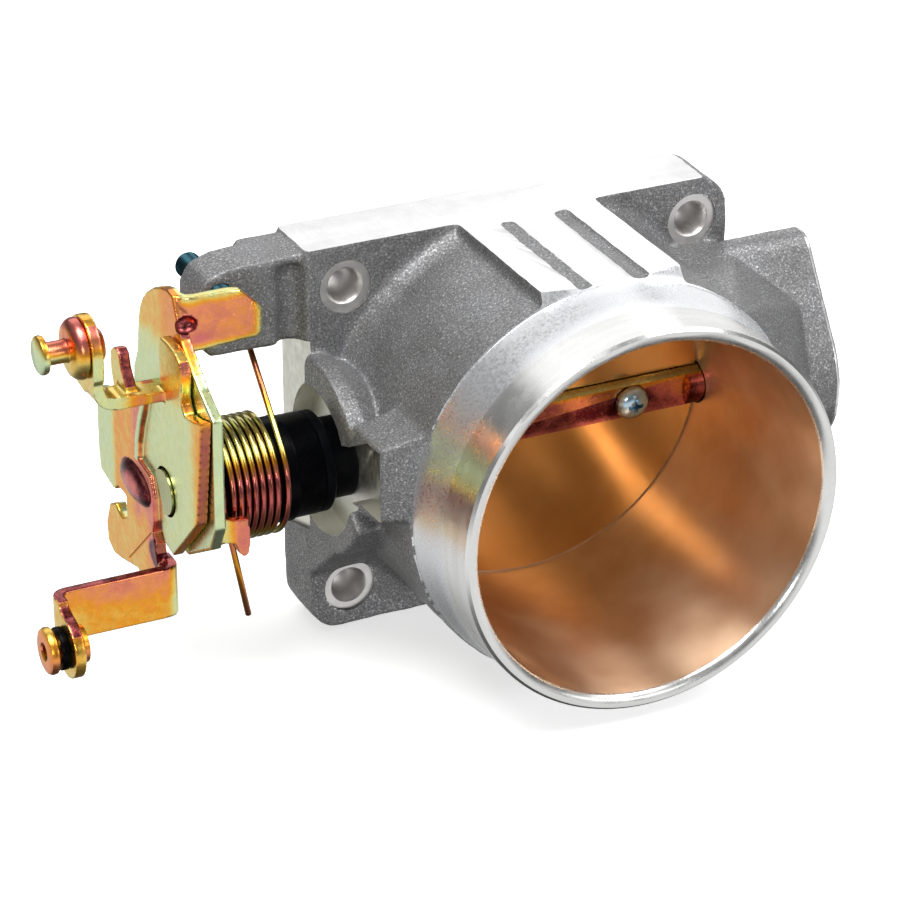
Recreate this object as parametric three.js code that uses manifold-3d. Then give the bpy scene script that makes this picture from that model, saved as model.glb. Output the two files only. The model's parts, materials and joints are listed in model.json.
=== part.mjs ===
// Cable-operated throttle body with a 78 mm bore, as an assembly of separate pieces.
//
// Millimetres, +Z up.  The origin is the bore's axis on the rear face of the mounting
// flange.  The bore runs along Y with its inlet mouth towards -Y.  The throttle shaft
// runs along X: the cable levers are at its -X end, the position sensor's pad at +X.
import * as THREE from 'three';
import { mergeVertices } from 'three/addons/utils/BufferGeometryUtils.js';
import { ConvexGeometry } from 'three/addons/geometries/ConvexGeometry.js';
import Module from 'manifold-3d';

const wasm = await Module();
wasm.setup();

// ---------------------------------------------------------------- driving dimensions
const BORE_R = 39;                // 78 mm bore
const MOUTH_Y = -75.8;            // inlet rim
const MOUTH_R = 42.2;             // outside of the rim
const COLLAR_Y = -55.2;           // where the turned collar meets the casting
const COLLAR_R = 43.8;
const BARREL_R = 44.3;            // cast barrel
const FLANGE_T = 15;              // flange thickness
const FLANGE_X = 49;              // half width
const SIDE_X = -48.6;             // left side, where it is milled
const FLANGE_Z = 44.3;            // half height, also the milled top's level
const BOLT_X = 40.4;              // bolt pattern, 80.8 x 70
const BOLT_Z = 35;
const BOLT_R = 3.4;
const SPOTFACE_R = 5.8;
const SHAFT_Y = -20.8;            // shaft axis, level with the bore's axis
const SHAFT_R = 4.8;
const SHAFT_LEFT = -84.2;
const SHAFT_RIGHT = 61;
const PAD_X = 64;                 // sensor pad's face
const PAD_R = 19.1;               // its middle disc
const PAD_SCREW_Z = 26;           // sensor screws above and below the shaft
const BOSS_X = -50.2;             // shaft boss's cast end
const BOSS_R = 22;
const POCKET_R = 16.2;            // milled pocket round the spring guide
const POCKET_X = -44.35;          // pocket floor
const GUIDE_R = 11.1;             // spring guide bush
const GUIDE_LEFT = -77;
const SEAL_LEFT = -52.4;          // rubber cup behind the guide
const PLATE_TILT = 6.8;           // degrees, closed
const PLATE_T = 1.6;
const SHEET = 2.4;                // lever stampings
const LEVER_X = -83.6;            // outer face of the throttle lever
const STOP_LEVER_X = -80.9;       // outer face of the stop lever
const EAR_X = -98.8;              // outer face of the cable stud's ear
const STUD_Y = 4.4;               // stud axis, measured from the shaft's
const STUD_Z = 33.6;
const EYELET_X = -109.6;          // outer face of the rod eyelet
const EYELET_Y = -7.9;
const EYELET_Z = -26;
const GAP = 0.3;                  // clearance between neighbouring pieces
const SPRING_R = 12.4;            // mean coil radius
const WIRE_R = 0.65;
const SPRING_PITCH = 1.62;
const SPRING_LEFT = -76;
const STOP_SCREW_X = -67.8;       // stop screw's axis, along Y
const STOP_SCREW_Z = 37.8;
const STOP_SCREW_R = 2.8;
const PLATE_SCREW_X = 21.9;       // plate screws, either side of the middle
const SHAFT_FLAT = 2.9;           // milled flat's distance from the shaft's axis
const LEVER_FLAT = 2.2;           // D-shaped lever end, the same

const CAST = { color: 0x8d8f94, roughness: 0.62, metalness: 0.75 };
const ZINC = { color: 0xc9b878, roughness: 0.32, metalness: 0.9 };
const ZINC_ROSE = { color: 0xcf9a72, roughness: 0.32, metalness: 0.9 };
const BRONZE = { color: 0x9a7a3c, roughness: 0.3, metalness: 0.9 };
const BLACK = { color: 0x0c0d12, roughness: 0.45, metalness: 0 };
const STEEL = { color: 0x9aa3ad, roughness: 0.3, metalness: 1 };
const COPPER = { color: 0xb8763a, roughness: 0.28, metalness: 1 };

// ---------------------------------------------------------------- solid helpers
const AXES = {
  x: new THREE.Matrix4().makeBasis(
    new THREE.Vector3(0, 1, 0), new THREE.Vector3(0, 0, 1), new THREE.Vector3(1, 0, 0)),
  y: new THREE.Matrix4().makeBasis(
    new THREE.Vector3(0, 0, 1), new THREE.Vector3(1, 0, 0), new THREE.Vector3(0, 1, 0)),
  z: new THREE.Matrix4(),
};

function solid(geometry) {
  const bare = geometry.clone();
  bare.deleteAttribute('normal');
  bare.deleteAttribute('uv');
  const merged = mergeVertices(bare, 1e-4);
  return new wasm.Manifold(new wasm.Mesh({
    numProp: 3,
    vertProperties: new Float32Array(merged.attributes.position.array),
    triVerts: new Uint32Array(merged.index.array),
  }));
}

function geometryOf(body) {
  const mesh = body.getMesh();
  const geometry = new THREE.BufferGeometry();
  geometry.setAttribute('position', new THREE.BufferAttribute(mesh.vertProperties, 3));
  geometry.setIndex(new THREE.BufferAttribute(mesh.triVerts, 1));
  geometry.computeVertexNormals();
  return geometry;
}

// Extrude an outline along an axis.  Outlines are [y, z] for x, [z, x] for y, [x, y] for z.
function prism(axis, outline, from, to) {
  const shape = new THREE.Shape(outline.map(([u, v]) => new THREE.Vector2(u, v)));
  const geometry = new THREE.ExtrudeGeometry(shape, { depth: to - from, bevelEnabled: false });
  geometry.translate(0, 0, from);
  return solid(geometry.applyMatrix4(AXES[axis]));
}

// An XZ outline, written [x, z], extruded along Y.
function panel(outline, from, to) {
  return prism('y', outline.map(([x, z]) => [z, x]), from, to);
}

function arc(cu, cv, r, fromDeg, toDeg, steps) {
  const points = [];
  for (let i = 0; i <= steps; i += 1) {
    const t = THREE.MathUtils.degToRad(fromDeg + (toDeg - fromDeg) * i / steps);
    points.push([cu + r * Math.cos(t), cv + r * Math.sin(t)]);
  }
  return points;
}

function disc(axis, r, from, to, cu = 0, cv = 0, sides = 32) {
  return prism(axis, arc(cu, cv, r, 0, 360, sides).slice(0, -1), from, to);
}

function block(x0, x1, y0, y1, z0, z1) {
  const geometry = new THREE.BoxGeometry(x1 - x0, y1 - y0, z1 - z0);
  geometry.translate((x0 + x1) / 2, (y0 + y1) / 2, (z0 + z1) / 2);
  return solid(geometry);
}

// A body of revolution: profile points are [radius, place along the axis].
function turned(axis, profile, sides = 32, cu = 0, cv = 0) {
  const spin = (points) => {
    const geometry = new THREE.LatheGeometry(
      points.map(([r, a]) => new THREE.Vector2(r, a)), sides);
    geometry.rotateX(Math.PI / 2);
    geometry.translate(cu, cv, 0);
    return solid(geometry.applyMatrix4(AXES[axis]));
  };
  const body = spin(profile);
  return body.volume() > 0 ? body : spin([...profile].reverse());
}

function hull(points) {
  return solid(new ConvexGeometry(points.map((p) => new THREE.Vector3(...p))));
}

function join(first, ...rest) {
  return rest.reduce((body, other) => body.add(other), first);
}

function cut(first, ...rest) {
  return rest.reduce((body, other) => body.subtract(other), first);
}

function piece(name, body, look) {
  const mesh = new THREE.Mesh(
    body.isBufferGeometry ? body : geometryOf(body), new THREE.MeshStandardMaterial(look));
  mesh.name = name;
  return mesh;
}

// The centre line of a bent strip, its corners rounded, as the outline of a sheet.
function bentStrip(corners, radius, thickness) {
  const line = [corners[0]];
  for (let i = 1; i < corners.length - 1; i += 1) {
    const at = new THREE.Vector2(...corners[i]);
    const before = new THREE.Vector2(...corners[i - 1]).sub(at).normalize();
    const after = new THREE.Vector2(...corners[i + 1]).sub(at).normalize();
    const start = at.clone().addScaledVector(before, radius);
    const end = at.clone().addScaledVector(after, radius);
    for (let k = 0; k <= 5; k += 1) {
      const t = k / 5;
      line.push([
        (1 - t) ** 2 * start.x + 2 * t * (1 - t) * at.x + t ** 2 * end.x,
        (1 - t) ** 2 * start.y + 2 * t * (1 - t) * at.y + t ** 2 * end.y]);
    }
  }
  line.push(corners[corners.length - 1]);
  const side = (sign) => line.map(([x, y], i) => {
    const [ax, ay] = line[Math.max(0, i - 1)];
    const [bx, by] = line[Math.min(line.length - 1, i + 1)];
    const length = Math.hypot(bx - ax, by - ay);
    return [x - sign * (by - ay) / length * thickness / 2,
      y + sign * (bx - ax) / length * thickness / 2];
  });
  return [...side(1), ...side(-1).reverse()];
}

// ---------------------------------------------------------------- housing
// Sensor pad outline: a disc about the shaft with a smaller lobe above and below it.
function padOutline() {
  const lobe = 5;
  const lean = THREE.MathUtils.radToDeg(Math.asin((PAD_R - lobe) / PAD_SCREW_Z));
  return [
    ...arc(SHAFT_Y, 0, PAD_R, -lean, lean, 6),
    ...arc(SHAFT_Y, PAD_SCREW_Z, lobe, lean, 180 - lean, 6),
    ...arc(SHAFT_Y, 0, PAD_R, 180 - lean, 180 + lean, 6),
    ...arc(SHAFT_Y, -PAD_SCREW_Z, lobe, 180 + lean, 360 - lean, 6)];
}

function flange() {
  const corner = 6;
  const outline = [
    ...arc(FLANGE_X - corner, FLANGE_Z - corner, corner, 0, 90, 4),
    [-FLANGE_X, FLANGE_Z],
    ...arc(-FLANGE_X + corner, -FLANGE_Z + corner, corner, 180, 270, 4),
    ...arc(FLANGE_X - corner, -FLANGE_Z + corner, corner, 270, 360, 4)];
  return panel(outline, -FLANGE_T, 0);
}

function barrel() {
  return turned('y', [
    [0, -1], [FLANGE_Z, -1], [FLANGE_Z, -FLANGE_T + 1],
    [46.8, -FLANGE_T + 0.6], [45.3, -FLANGE_T - 1.6],
    [BARREL_R, -FLANGE_T - 4.2], [BARREL_R, COLLAR_Y + 1.2], [COLLAR_R, COLLAR_Y],
    [MOUTH_R + 0.3, MOUTH_Y + 1.2], [MOUTH_R - 0.6, MOUTH_Y], [0, MOUTH_Y]], 96);
}

// The stop arm reaches out from the flange's upper left corner.
function stopArm() {
  const outline = [
    [-46, 23.8], [-46, FLANGE_Z], [-60, 44], [-66, 43.4], [-70.4, 42], [-72.6, 38.6],
    [-72.6, 27.2], [-70.2, 24.6]];
  const arm = panel(outline, -14.2, -3.2);
  const groove = block(-50.6, -48.2, -16, -11.2, 20, 40.5);
  const springSlot = block(-61.8, -57.8, -12.4, -2, 20, 29);
  return cut(arm, groove, springSlot);
}

// Cast ring round the milled pocket, and the box that closes it towards the inlet.
function shaftBoss() {
  const ringWall = prism('x', [
    [-1, 21.5], ...arc(SHAFT_Y, 0, BOSS_R, 75, 146, 8),
    ...arc(SHAFT_Y, 0, BOSS_R - 1.5, 205, 285, 8), [-1, -23]], BOSS_X, -30);
  const box = hull([
    [-49.2, -51, 14.8], [-49.2, -51.3, -0.6], [-49.2, -38, 14.8], [-49.2, -36, -3],
    [-40.5, -55, 18.5], [-43.8, -55.2, 0.5], [-40.5, -39, 18.5], [-42, -36, -8], [-30, -45, 5]]);
  return join(ringWall, box);
}

// The pocket's open side, milled out between the ring's tip and the box.
function pocketWindow() {
  return prism('x', [
    [-30, 8], [-37, 10.2], [-39.6, 14.2], [-50.6, 14.8], [-50.8, -0.8], [-41.8, -1],
    [-33, -4]], -60, POCKET_X);
}

// Sensor boss at the right with the cheek that fairs it into the barrel.
function sensorBoss() {
  const cheek = [];
  for (const side of [1, -1]) {
    cheek.push([45.5, -24.5, 29.3 * side], [57, -33, 19 * side], [57, -38.6, 6 * side],
      [45, -2, 29.3 * side], [57, -4, 19 * side]);
  }
  for (const [x, z] of arc(0, 0, COLLAR_R - 0.6, -46, 46, 8)) {
    cheek.push([x, COLLAR_Y + 1.5, z]);
  }
  cheek.push([20, -20, 30], [20, -20, -30]);
  return join(prism('x', padOutline(), 30, PAD_X), hull(cheek));
}

function ribs() {
  const edges = [[-15, -7.6], [-3.4, 4.7], [9, 16.7]];
  return edges.map(([left, right]) => block(
    left, right, COLLAR_Y + 2, -FLANGE_T + 2, 36, FLANGE_Z));
}

function housing() {
  const casting = join(flange(), barrel(), stopArm(), shaftBoss(), sensorBoss(), ...ribs());
  const cuts = [
    block(-80, 80, -80, 5, FLANGE_Z, 60),
    turned('y', [
      [0, MOUTH_Y - 5], [BORE_R + 1.2, MOUTH_Y - 1], [BORE_R + 0.4, MOUTH_Y],
      [BORE_R, MOUTH_Y + 0.6], [BORE_R, 5], [0, 5]], 96),
    disc('x', POCKET_R, -60, POCKET_X, SHAFT_Y, 0, 40),
    pocketWindow(),
    prism('x', [[5, 24.2], [-15.4, 24.2], [-15.4, -19.2], [5, -25]], -60, SIDE_X),
    disc('x', SHAFT_R + GAP, -50, -30, SHAFT_Y, 0),
    disc('x', SHAFT_R + GAP, 30, 70, SHAFT_Y, 0),
    disc('x', 7.5, POCKET_X - 1, -40.6, SHAFT_Y, 0),
    disc('x', 7.5, 42, 60, SHAFT_Y, 0),
    disc('x', 12.5, PAD_X - 8, PAD_X + 1, SHAFT_Y, 0),
    disc('y', STOP_SCREW_R + GAP, -20, 0, STOP_SCREW_Z, STOP_SCREW_X, 20),
  ];
  for (const x of [-BOLT_X, BOLT_X]) {
    for (const z of [-BOLT_Z, BOLT_Z]) {
      cuts.push(disc('y', BOLT_R, -20, 5, z, x, 24));
      cuts.push(disc('y', SPOTFACE_R, -24, -FLANGE_T + 0.6, z, x, 24));
    }
  }
  for (const z of [-PAD_SCREW_Z, PAD_SCREW_Z]) {
    cuts.push(disc('x', 2.1, PAD_X - 12, PAD_X + 1, SHAFT_Y, z, 16));
  }
  return piece('housing', cut(casting, ...cuts), CAST);
}

// Set screw that holds the closed plate clear of the bore.
function stopScrew() {
  const tip = SHAFT_Y + 0.1 + GAP;
  const body = turned('y', [
    [0, tip], [1.6, tip], [2.2, tip + 1], [STOP_SCREW_R, tip + 1.6], [STOP_SCREW_R, 3.6],
    [2.2, 4.4], [0, 4.4]],
  20, STOP_SCREW_Z, STOP_SCREW_X);
  const socket = disc('y', 1.6, 1.6, 6, STOP_SCREW_Z, STOP_SCREW_X, 6);
  return piece('stop_screw', body.subtract(socket), STEEL);
}

// ---------------------------------------------------------------- shaft supports
function ring(name, outer, inner, from, to, look) {
  const body = turned('x', [
    [inner, from], [outer, from], [outer, to], [inner, to], [inner, from]], 32, SHAFT_Y, 0);
  return piece(name, body, look);
}

function springGuide() {
  const inner = SHAFT_R + GAP;
  const body = turned('x', [
    [inner, GUIDE_LEFT], [GUIDE_R - 0.5, GUIDE_LEFT], [GUIDE_R, GUIDE_LEFT + 0.8],
    [GUIDE_R, SEAL_LEFT - GAP], [inner, SEAL_LEFT - GAP], [inner, GUIDE_LEFT]], 36, SHAFT_Y, 0);
  return piece('spring_guide', body, BLACK);
}

// Rubber cup that closes the pocket behind the spring guide.
function dustSeal() {
  const inner = SHAFT_R + GAP;
  const right = POCKET_X - GAP;
  const body = turned('x', [
    [inner, SEAL_LEFT], [GUIDE_R - 0.4, SEAL_LEFT], [GUIDE_R - 0.4, right],
    [7.6, right], [7.6, right - 1.9],
    [inner, right - 1.9], [inner, SEAL_LEFT]], 36, SHAFT_Y, 0);
  return piece('dust_seal', body, BLACK);
}

// ---------------------------------------------------------------- return spring
// Path of the wire: lever leg, coil and the leg that hooks behind the stop arm.
class SpringPath extends THREE.Curve {
  constructor() {
    super();
    this.start = 180;
    this.sweep = 51.5 + 8 * 360;
    this.legLow = new THREE.Vector3(SPRING_LEFT + 4.8, SHAFT_Y - SPRING_R, -25.5);
    this.legHigh = this.coil(1).add(new THREE.Vector3(1.2, 20.6, 16.4));
  }

  // The end turns stand a little apart from the close-wound ones.
  coil(share) {
    const turns = share * this.sweep / 360;
    const spread = 0.7 * (Math.min(turns, 1) + Math.max(turns - 7.2, 0));
    const angle = THREE.MathUtils.degToRad(this.start - share * this.sweep);
    return new THREE.Vector3(
      SPRING_LEFT + SPRING_PITCH * turns + spread,
      SHAFT_Y + SPRING_R * Math.cos(angle), SPRING_R * Math.sin(angle));
  }

  getPoint(t, target = new THREE.Vector3()) {
    const legShare = 0.04;
    if (t < legShare) return target.lerpVectors(this.legLow, this.coil(0), t / legShare);
    if (t > 1 - legShare) {
      return target.lerpVectors(this.coil(1), this.legHigh, (t - 1 + legShare) / legShare);
    }
    return target.copy(this.coil((t - legShare) / (1 - 2 * legShare)));
  }

  getPointAt(t, target) {
    return this.getPoint(t, target);
  }

  getTangentAt(t, target = new THREE.Vector3()) {
    const step = 1e-4;
    const a = this.getPoint(Math.max(0, t - step));
    const b = this.getPoint(Math.min(1, t + step));
    return target.copy(b).sub(a).normalize();
  }
}

function returnSpring() {
  const section = new THREE.Shape(
    arc(0, 0, WIRE_R, 0, 360, 6).slice(0, -1).map(([u, v]) => new THREE.Vector2(u, v)));
  const geometry = new THREE.ExtrudeGeometry(section, {
    steps: 150, bevelEnabled: false, extrudePath: new SpringPath() });
  return piece('return_spring', solid(geometry), BRONZE);
}

// ---------------------------------------------------------------- rotating parts
// These are drawn about the shaft's axis: y and z are measured from it.
function dSection(r, flat) {
  const lean = -31.8;
  const half = THREE.MathUtils.radToDeg(Math.acos(flat / r));
  return arc(0, 0, r, lean + half, lean + 360 - half, 24);
}

function throttleShaft() {
  const plateGap = PLATE_T / 2 + GAP;
  const shaft = disc('x', SHAFT_R, -78.2, SHAFT_RIGHT - 6, 0, 0, 36);
  const leverEnd = prism('x', dSection(SHAFT_R, LEVER_FLAT), SHAFT_LEFT, -77);
  const drive = disc('x', SHAFT_R - 0.8, SHAFT_RIGHT - 7, SHAFT_RIGHT, 0, 0, 36)
    .subtract(block(SHAFT_RIGHT - 5, SHAFT_RIGHT + 1, -6, 6, 1.6, 6));
  const slot = block(-BORE_R - 0.6, BORE_R + 0.6, -plateGap, plateGap, -9, 9);
  const flat = block(-35.4, 35.4, -9, -SHAFT_FLAT, -9, 9);
  const clipGroove = turned('x', [
    [SHAFT_R - 0.9, 50.6], [7, 50.6], [7, 52], [SHAFT_R - 0.9, 52], [SHAFT_R - 0.9, 50.6]], 36);
  const holes = [-PLATE_SCREW_X, PLATE_SCREW_X].map((x) => disc('y', 1.9 + GAP, -9, 9, 0, x, 16));
  const milled = join(slot, flat, ...holes).rotate([PLATE_TILT, 0, 0]);
  return piece('throttle_shaft', cut(join(shaft, leverEnd, drive), milled, clipGroove), ZINC);
}

function throttlePlate() {
  const short = BORE_R - GAP;
  const long = short / Math.cos(THREE.MathUtils.degToRad(PLATE_TILT)) - 0.05;
  const outline = arc(0, 0, 1, 0, 360, 72).slice(0, -1).map(([u, v]) => [u * short, v * long]);
  const holes = [-PLATE_SCREW_X, PLATE_SCREW_X].map((x) => disc('y', 1.9 + GAP, -5, 5, 0, x, 16));
  const mesh = piece(
    'throttle_plate', cut(panel(outline, -PLATE_T / 2, PLATE_T / 2), ...holes), COPPER);
  mesh.rotation.x = THREE.MathUtils.degToRad(PLATE_TILT);
  return mesh;
}

function plateScrew(name, x) {
  const head = turned('y', [
    [0, -5.6], [1.8, -5.45], [3, -4.9], [3.8, -3.9], [3.9, -3.2], [1.9, -3.2], [1.9, 4.2],
    [0, 4.2]], 24, 0, x);
  const recess = join(
    block(x - 1.9, x + 1.9, -6, -4.3, -0.45, 0.45),
    block(x - 0.45, x + 0.45, -6, -4.3, -1.9, 1.9));
  const mesh = piece(name, head.subtract(recess), STEEL);
  mesh.rotation.x = THREE.MathUtils.degToRad(PLATE_TILT);
  return mesh;
}

// Throttle lever: one stamping with the cable quadrant, the stud's ear on its bridge, a
// guide finger and the low strap that ends in the rod's eyelet.
function throttleLever() {
  const back = LEVER_X + SHEET;
  const web = prism('x', [
    [-20.6, 24.4], [-12, 22.4], [-11.2, 24], [-10.8, 30], [-5.4, 36.6], [1.4, 33.4], [1.4, 22],
    [10, 20.4], [14, 10], [17, 2], [15, -6], [4, -9], [1, -12.8], [-2.7, -13.6], [-16.6, 0]],
  LEVER_X, back);
  const quadrant = prism('x', [
    [8, 21], [20, 14.4], [30, 10.4], [36, 8.4], [36.4, -4.7], [35, -10], [28.4, -12],
    [26, -10.2], [20.4, -9.8], [19.6, -16.4], [22, -17.2], [24.4, -14.8], [31, -17],
    [33.8, -22.4], [32.6, -26], [27.6, -27.6], [15.4, -25],
    [8, -28.6], [-0.8, -28.6], [-0.8, -17.4], [3.2, -18], [1, -12.8], [1.8, -5],
    [9, -4], [15.5, 1], [12.5, 10]], LEVER_X - 0.8, back - 0.8);
  const bridge = prism('y', bentStrip([[22.2, back - 0.2], [21, LEVER_X - 6],
    [21, EAR_X + SHEET / 2], [26, EAR_X + SHEET / 2]], 2.4, SHEET), -1.7, 5);
  const ear = prism('x', [
    [STUD_Y - 6.8, 20], [STUD_Y + 6.8, 20], ...arc(STUD_Y, STUD_Z, 6.8, 0, 180, 10)],
  EAR_X, EAR_X + SHEET);
  const finger = block(LEVER_X - 7.6, LEVER_X - 3.6, 4.4, 6.8, 20, 30.4);
  const strap = prism('z', bentStrip([
    [LEVER_X + SHEET / 2, 6], [LEVER_X + SHEET / 2, -0.2], [EYELET_X + SHEET / 2, -0.2],
    [EYELET_X + SHEET / 2, -5]],
  2.6, SHEET), -28.6, -17.2);
  const eyelet = prism('x', [
    [-2.6, -17.3], ...arc(EYELET_Y, EYELET_Z, 6.6, 90, 320, 10), [-2.6, -28.6]],
  EYELET_X, EYELET_X + SHEET);
  const shaftHole = prism('x', dSection(SHAFT_R + GAP, LEVER_FLAT + GAP), -90, -70);
  const body = join(web, quadrant, bridge, ear, finger, strap, eyelet);
  return piece('throttle_lever', cut(body, shaftHole,
    disc('x', 2.2 + GAP, -112, -90, STUD_Y, STUD_Z, 20),
    disc('x', 3 + GAP, -112, -104, EYELET_Y, EYELET_Z, 20)), ZINC);
}

// Stop lever: a second stamping behind the first, with the stop tab and the spring hook.
function stopLever() {
  const inner = STOP_LEVER_X + SHEET - 0.1;
  const web = prism('x', [
    [-20.2, 24], [-13, 28], [-4, 35], [0.6, 43], [8, 41.2], [15, 36.2], [19.4, 29.6], [23.4, 19],
    [24, 10], [14, -4], [6, -12], [-4, -13.4], [-17, -6], [-20.2, 0]],
  STOP_LEVER_X, inner);
  const tab = prism('z', bentStrip([
    [STOP_LEVER_X + SHEET / 2, 4], [STOP_LEVER_X + SHEET / 2, -1.1], [-62.3, -1.1]],
  2.4, SHEET - 0.1), 31.8, 43).intersect(panel([
    [-90, 30], [-68.4, 31.6], [-62.6, 33], [-62.3, 37.4], [-67, 42.8], [-90, 42.8]], -10, 10));
  const hook = panel([
    [STOP_LEVER_X, 1], [-72, -0.6], [-71.6, -7], [-72.6, -9.8], [-74.2, -9.2], [-75, -6.2],
    [STOP_LEVER_X, -4.6]], -16.4, -14.2);
  const shaftHole = prism('x', dSection(SHAFT_R + GAP, LEVER_FLAT + GAP), -90, -70);
  return piece('stop_lever', cut(join(web, tab, hook), shaftHole), ZINC_ROSE);
}

function cableStud() {
  const tail = EAR_X + SHEET + GAP;
  const body = turned('x', [
    [0, -108.2], [2.9, -108.2], [3.4, -107.7], [3.4, -106.9], [2.8, -106.3], [2.1, -105.6],
    [2.1, -103.4], [3.6, -103], [5.4, -101.6], [6.2, -99.9], [6.2, EAR_X - GAP],
    [2.2, EAR_X - GAP], [2.2, tail], [4, tail], [3.2, tail + 1.6], [0, tail + 1.6]],
  28, STUD_Y, STUD_Z);
  return piece('cable_stud', body, ZINC_ROSE);
}

// Hollow rivet that carries the rod's end, with a plastic spacer behind its head.
function rodBushing() {
  const head = -114.1;
  const tail = EYELET_X + SHEET + GAP;
  const body = turned('x', [
    [1.7, head], [4.2, head], [5, head + 0.7], [5, head + 2], [3, head + 2.2], [3, tail],
    [4.2, tail], [4, tail + 1.6], [1.7, tail + 1.6], [1.7, head]], 24, EYELET_Y, EYELET_Z);
  return piece('rod_bushing', body, ZINC);
}

function rodSpacer() {
  const right = EYELET_X - GAP;
  const body = turned('x', [
    [3 + GAP, right - 1.6], [4.4, right - 1.6], [4.4, right], [3 + GAP, right],
    [3 + GAP, right - 1.6]], 24, EYELET_Y, EYELET_Z);
  return piece('rod_spacer', body, BLACK);
}

function thrustWasher() {
  const face = STOP_LEVER_X + SHEET + 0.2;
  return piece('thrust_washer', disc('x', 9.6, face, GUIDE_LEFT - GAP, 0, 0, 32)
    .subtract(disc('x', SHAFT_R + GAP, face - 1, GUIDE_LEFT, 0, 0)), STEEL);
}

function retainingClip() {
  const body = disc('x', 7, 50.9, 51.7, 0, 0, 32);
  const open = join(disc('x', SHAFT_R - 0.6, 50, 53, 0, 0, 32), block(50, 53, -3, 3, -9, 0));
  return piece('retaining_clip', body.subtract(open), STEEL);
}

// ---------------------------------------------------------------- assembly
const throttleBody = new THREE.Group();
throttleBody.add(
  housing(),
  stopScrew(),
  springGuide(),
  dustSeal(),
  ring('left_seal', 7.2, SHAFT_R + GAP, POCKET_X - 1.6, -43.1, BLACK),
  ring('left_bearing', 7.2, SHAFT_R + GAP, -42.8, -40.9, BRONZE),
  ring('right_bearing', 7.2, SHAFT_R + GAP, 42.3, 47.4, BRONZE),
  ring('right_seal', 7.2, SHAFT_R + GAP, 47.7, 50.2, BLACK),
  returnSpring());

const rotating = new THREE.Group();
rotating.position.set(0, SHAFT_Y, 0);
rotating.add(
  throttleShaft(),
  throttlePlate(),
  plateScrew('plate_screw_left', -PLATE_SCREW_X),
  plateScrew('plate_screw_right', PLATE_SCREW_X),
  throttleLever(),
  stopLever(),
  cableStud(),
  rodBushing(),
  rodSpacer(),
  retainingClip(),
  thrustWasher());
throttleBody.add(rotating);

export default throttleBody;
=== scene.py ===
"""Looks of the throttle body: the casting, the plated levers and the copper-toned bore.

Sizes are in millimetres and become metres in make().  The frame is the CAD's: the origin is
the bore's axis on the flange's rear face, -Y is the inlet and +X the sensor side.
"""
import json
import math

import bmesh
import bpy
import numpy as np
from mathutils import Matrix, Vector, noise


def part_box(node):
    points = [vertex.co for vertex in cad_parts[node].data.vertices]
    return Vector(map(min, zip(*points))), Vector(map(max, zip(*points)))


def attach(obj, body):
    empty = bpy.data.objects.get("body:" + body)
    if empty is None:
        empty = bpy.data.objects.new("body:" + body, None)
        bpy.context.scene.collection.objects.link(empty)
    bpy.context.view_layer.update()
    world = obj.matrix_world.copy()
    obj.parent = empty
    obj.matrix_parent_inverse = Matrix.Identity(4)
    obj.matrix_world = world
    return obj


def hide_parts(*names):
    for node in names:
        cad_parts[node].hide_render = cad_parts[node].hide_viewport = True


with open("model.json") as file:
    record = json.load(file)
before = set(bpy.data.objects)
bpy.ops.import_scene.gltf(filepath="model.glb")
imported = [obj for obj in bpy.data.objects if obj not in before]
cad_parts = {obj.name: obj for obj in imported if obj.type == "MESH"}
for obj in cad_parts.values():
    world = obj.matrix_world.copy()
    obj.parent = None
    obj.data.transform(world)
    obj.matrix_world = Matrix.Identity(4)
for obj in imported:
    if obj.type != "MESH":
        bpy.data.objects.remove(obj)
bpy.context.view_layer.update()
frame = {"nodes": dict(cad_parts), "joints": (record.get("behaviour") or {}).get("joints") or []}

MM = 0.001


def millimetres(vector):
    return tuple(c / MM for c in vector)


# ------------------------------------------------------------------ sizes from the frame
HOUSING_LOW, HOUSING_HIGH = (millimetres(v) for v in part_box("housing"))
LEVER_LOW, _ = (millimetres(v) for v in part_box("throttle_lever"))
GUIDE_LOW, GUIDE_HIGH = (millimetres(v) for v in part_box("spring_guide"))
SHAFT_Y = frame["joints"][0]["pos_m"][1] / MM

BORE_R = 39
MOUTH_Y = HOUSING_LOW[1]          # inlet rim
MOUTH_R = 42.2
COLLAR_Y = MOUTH_Y + 20.6         # where the turned collar meets the casting
COLLAR_R = 43.8
COLLAR_PROFILE = [                # (y, radius) from the rim to the fillet against the casting
    (MOUTH_Y + 0.6, MOUTH_R), (MOUTH_Y + 10.6, MOUTH_R + 0.2), (MOUTH_Y + 14.3, MOUTH_R + 0.65),
    (COLLAR_Y - 3.2, COLLAR_R - 0.3), (COLLAR_Y - 0.6, COLLAR_R + 0.05),
    (COLLAR_Y + 0.6, COLLAR_R + 0.2), (COLLAR_Y + 1.2, COLLAR_R + 1.6),
    (COLLAR_Y + 2.2, COLLAR_R + 2.9), (COLLAR_Y + 3.0, COLLAR_R + 4.8)]
BARREL_R = 44.3
FLANGE_T = 15
FLANGE_X = 49
TOP_Z = HOUSING_HIGH[2]           # milled top
BOLT_X, BOLT_Z = 40.4, 35
BOLT_R, SPOTFACE_R = 3.4, 5.8
SHAFT_R = 4.8
PAD_X = HOUSING_HIGH[0]           # sensor pad's face
PAD_R = 19.1
PAD_SCREW_Z = 26
BOSS_X, BOSS_R = -50.2, 22
POCKET_R = 16.2
POCKET_X = -44.35
SIDE_X = -48.6                    # left side, where it is milled
STOP_SCREW_X, STOP_SCREW_Z = -67.8, 37.8
STOP_SCREW_R = 2.8
GUIDE_R = (GUIDE_HIGH[2] - GUIDE_LOW[2]) / 2
GUIDE_LEFT, SEAL_LEFT = GUIDE_LOW[0], GUIDE_HIGH[0] + 0.3
PLATE_TILT = math.radians(6.8)
PLATE_T = 1.6
PLATE_SCREW_X = 21.9
PLATE_HOLE_R = 2.0
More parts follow.
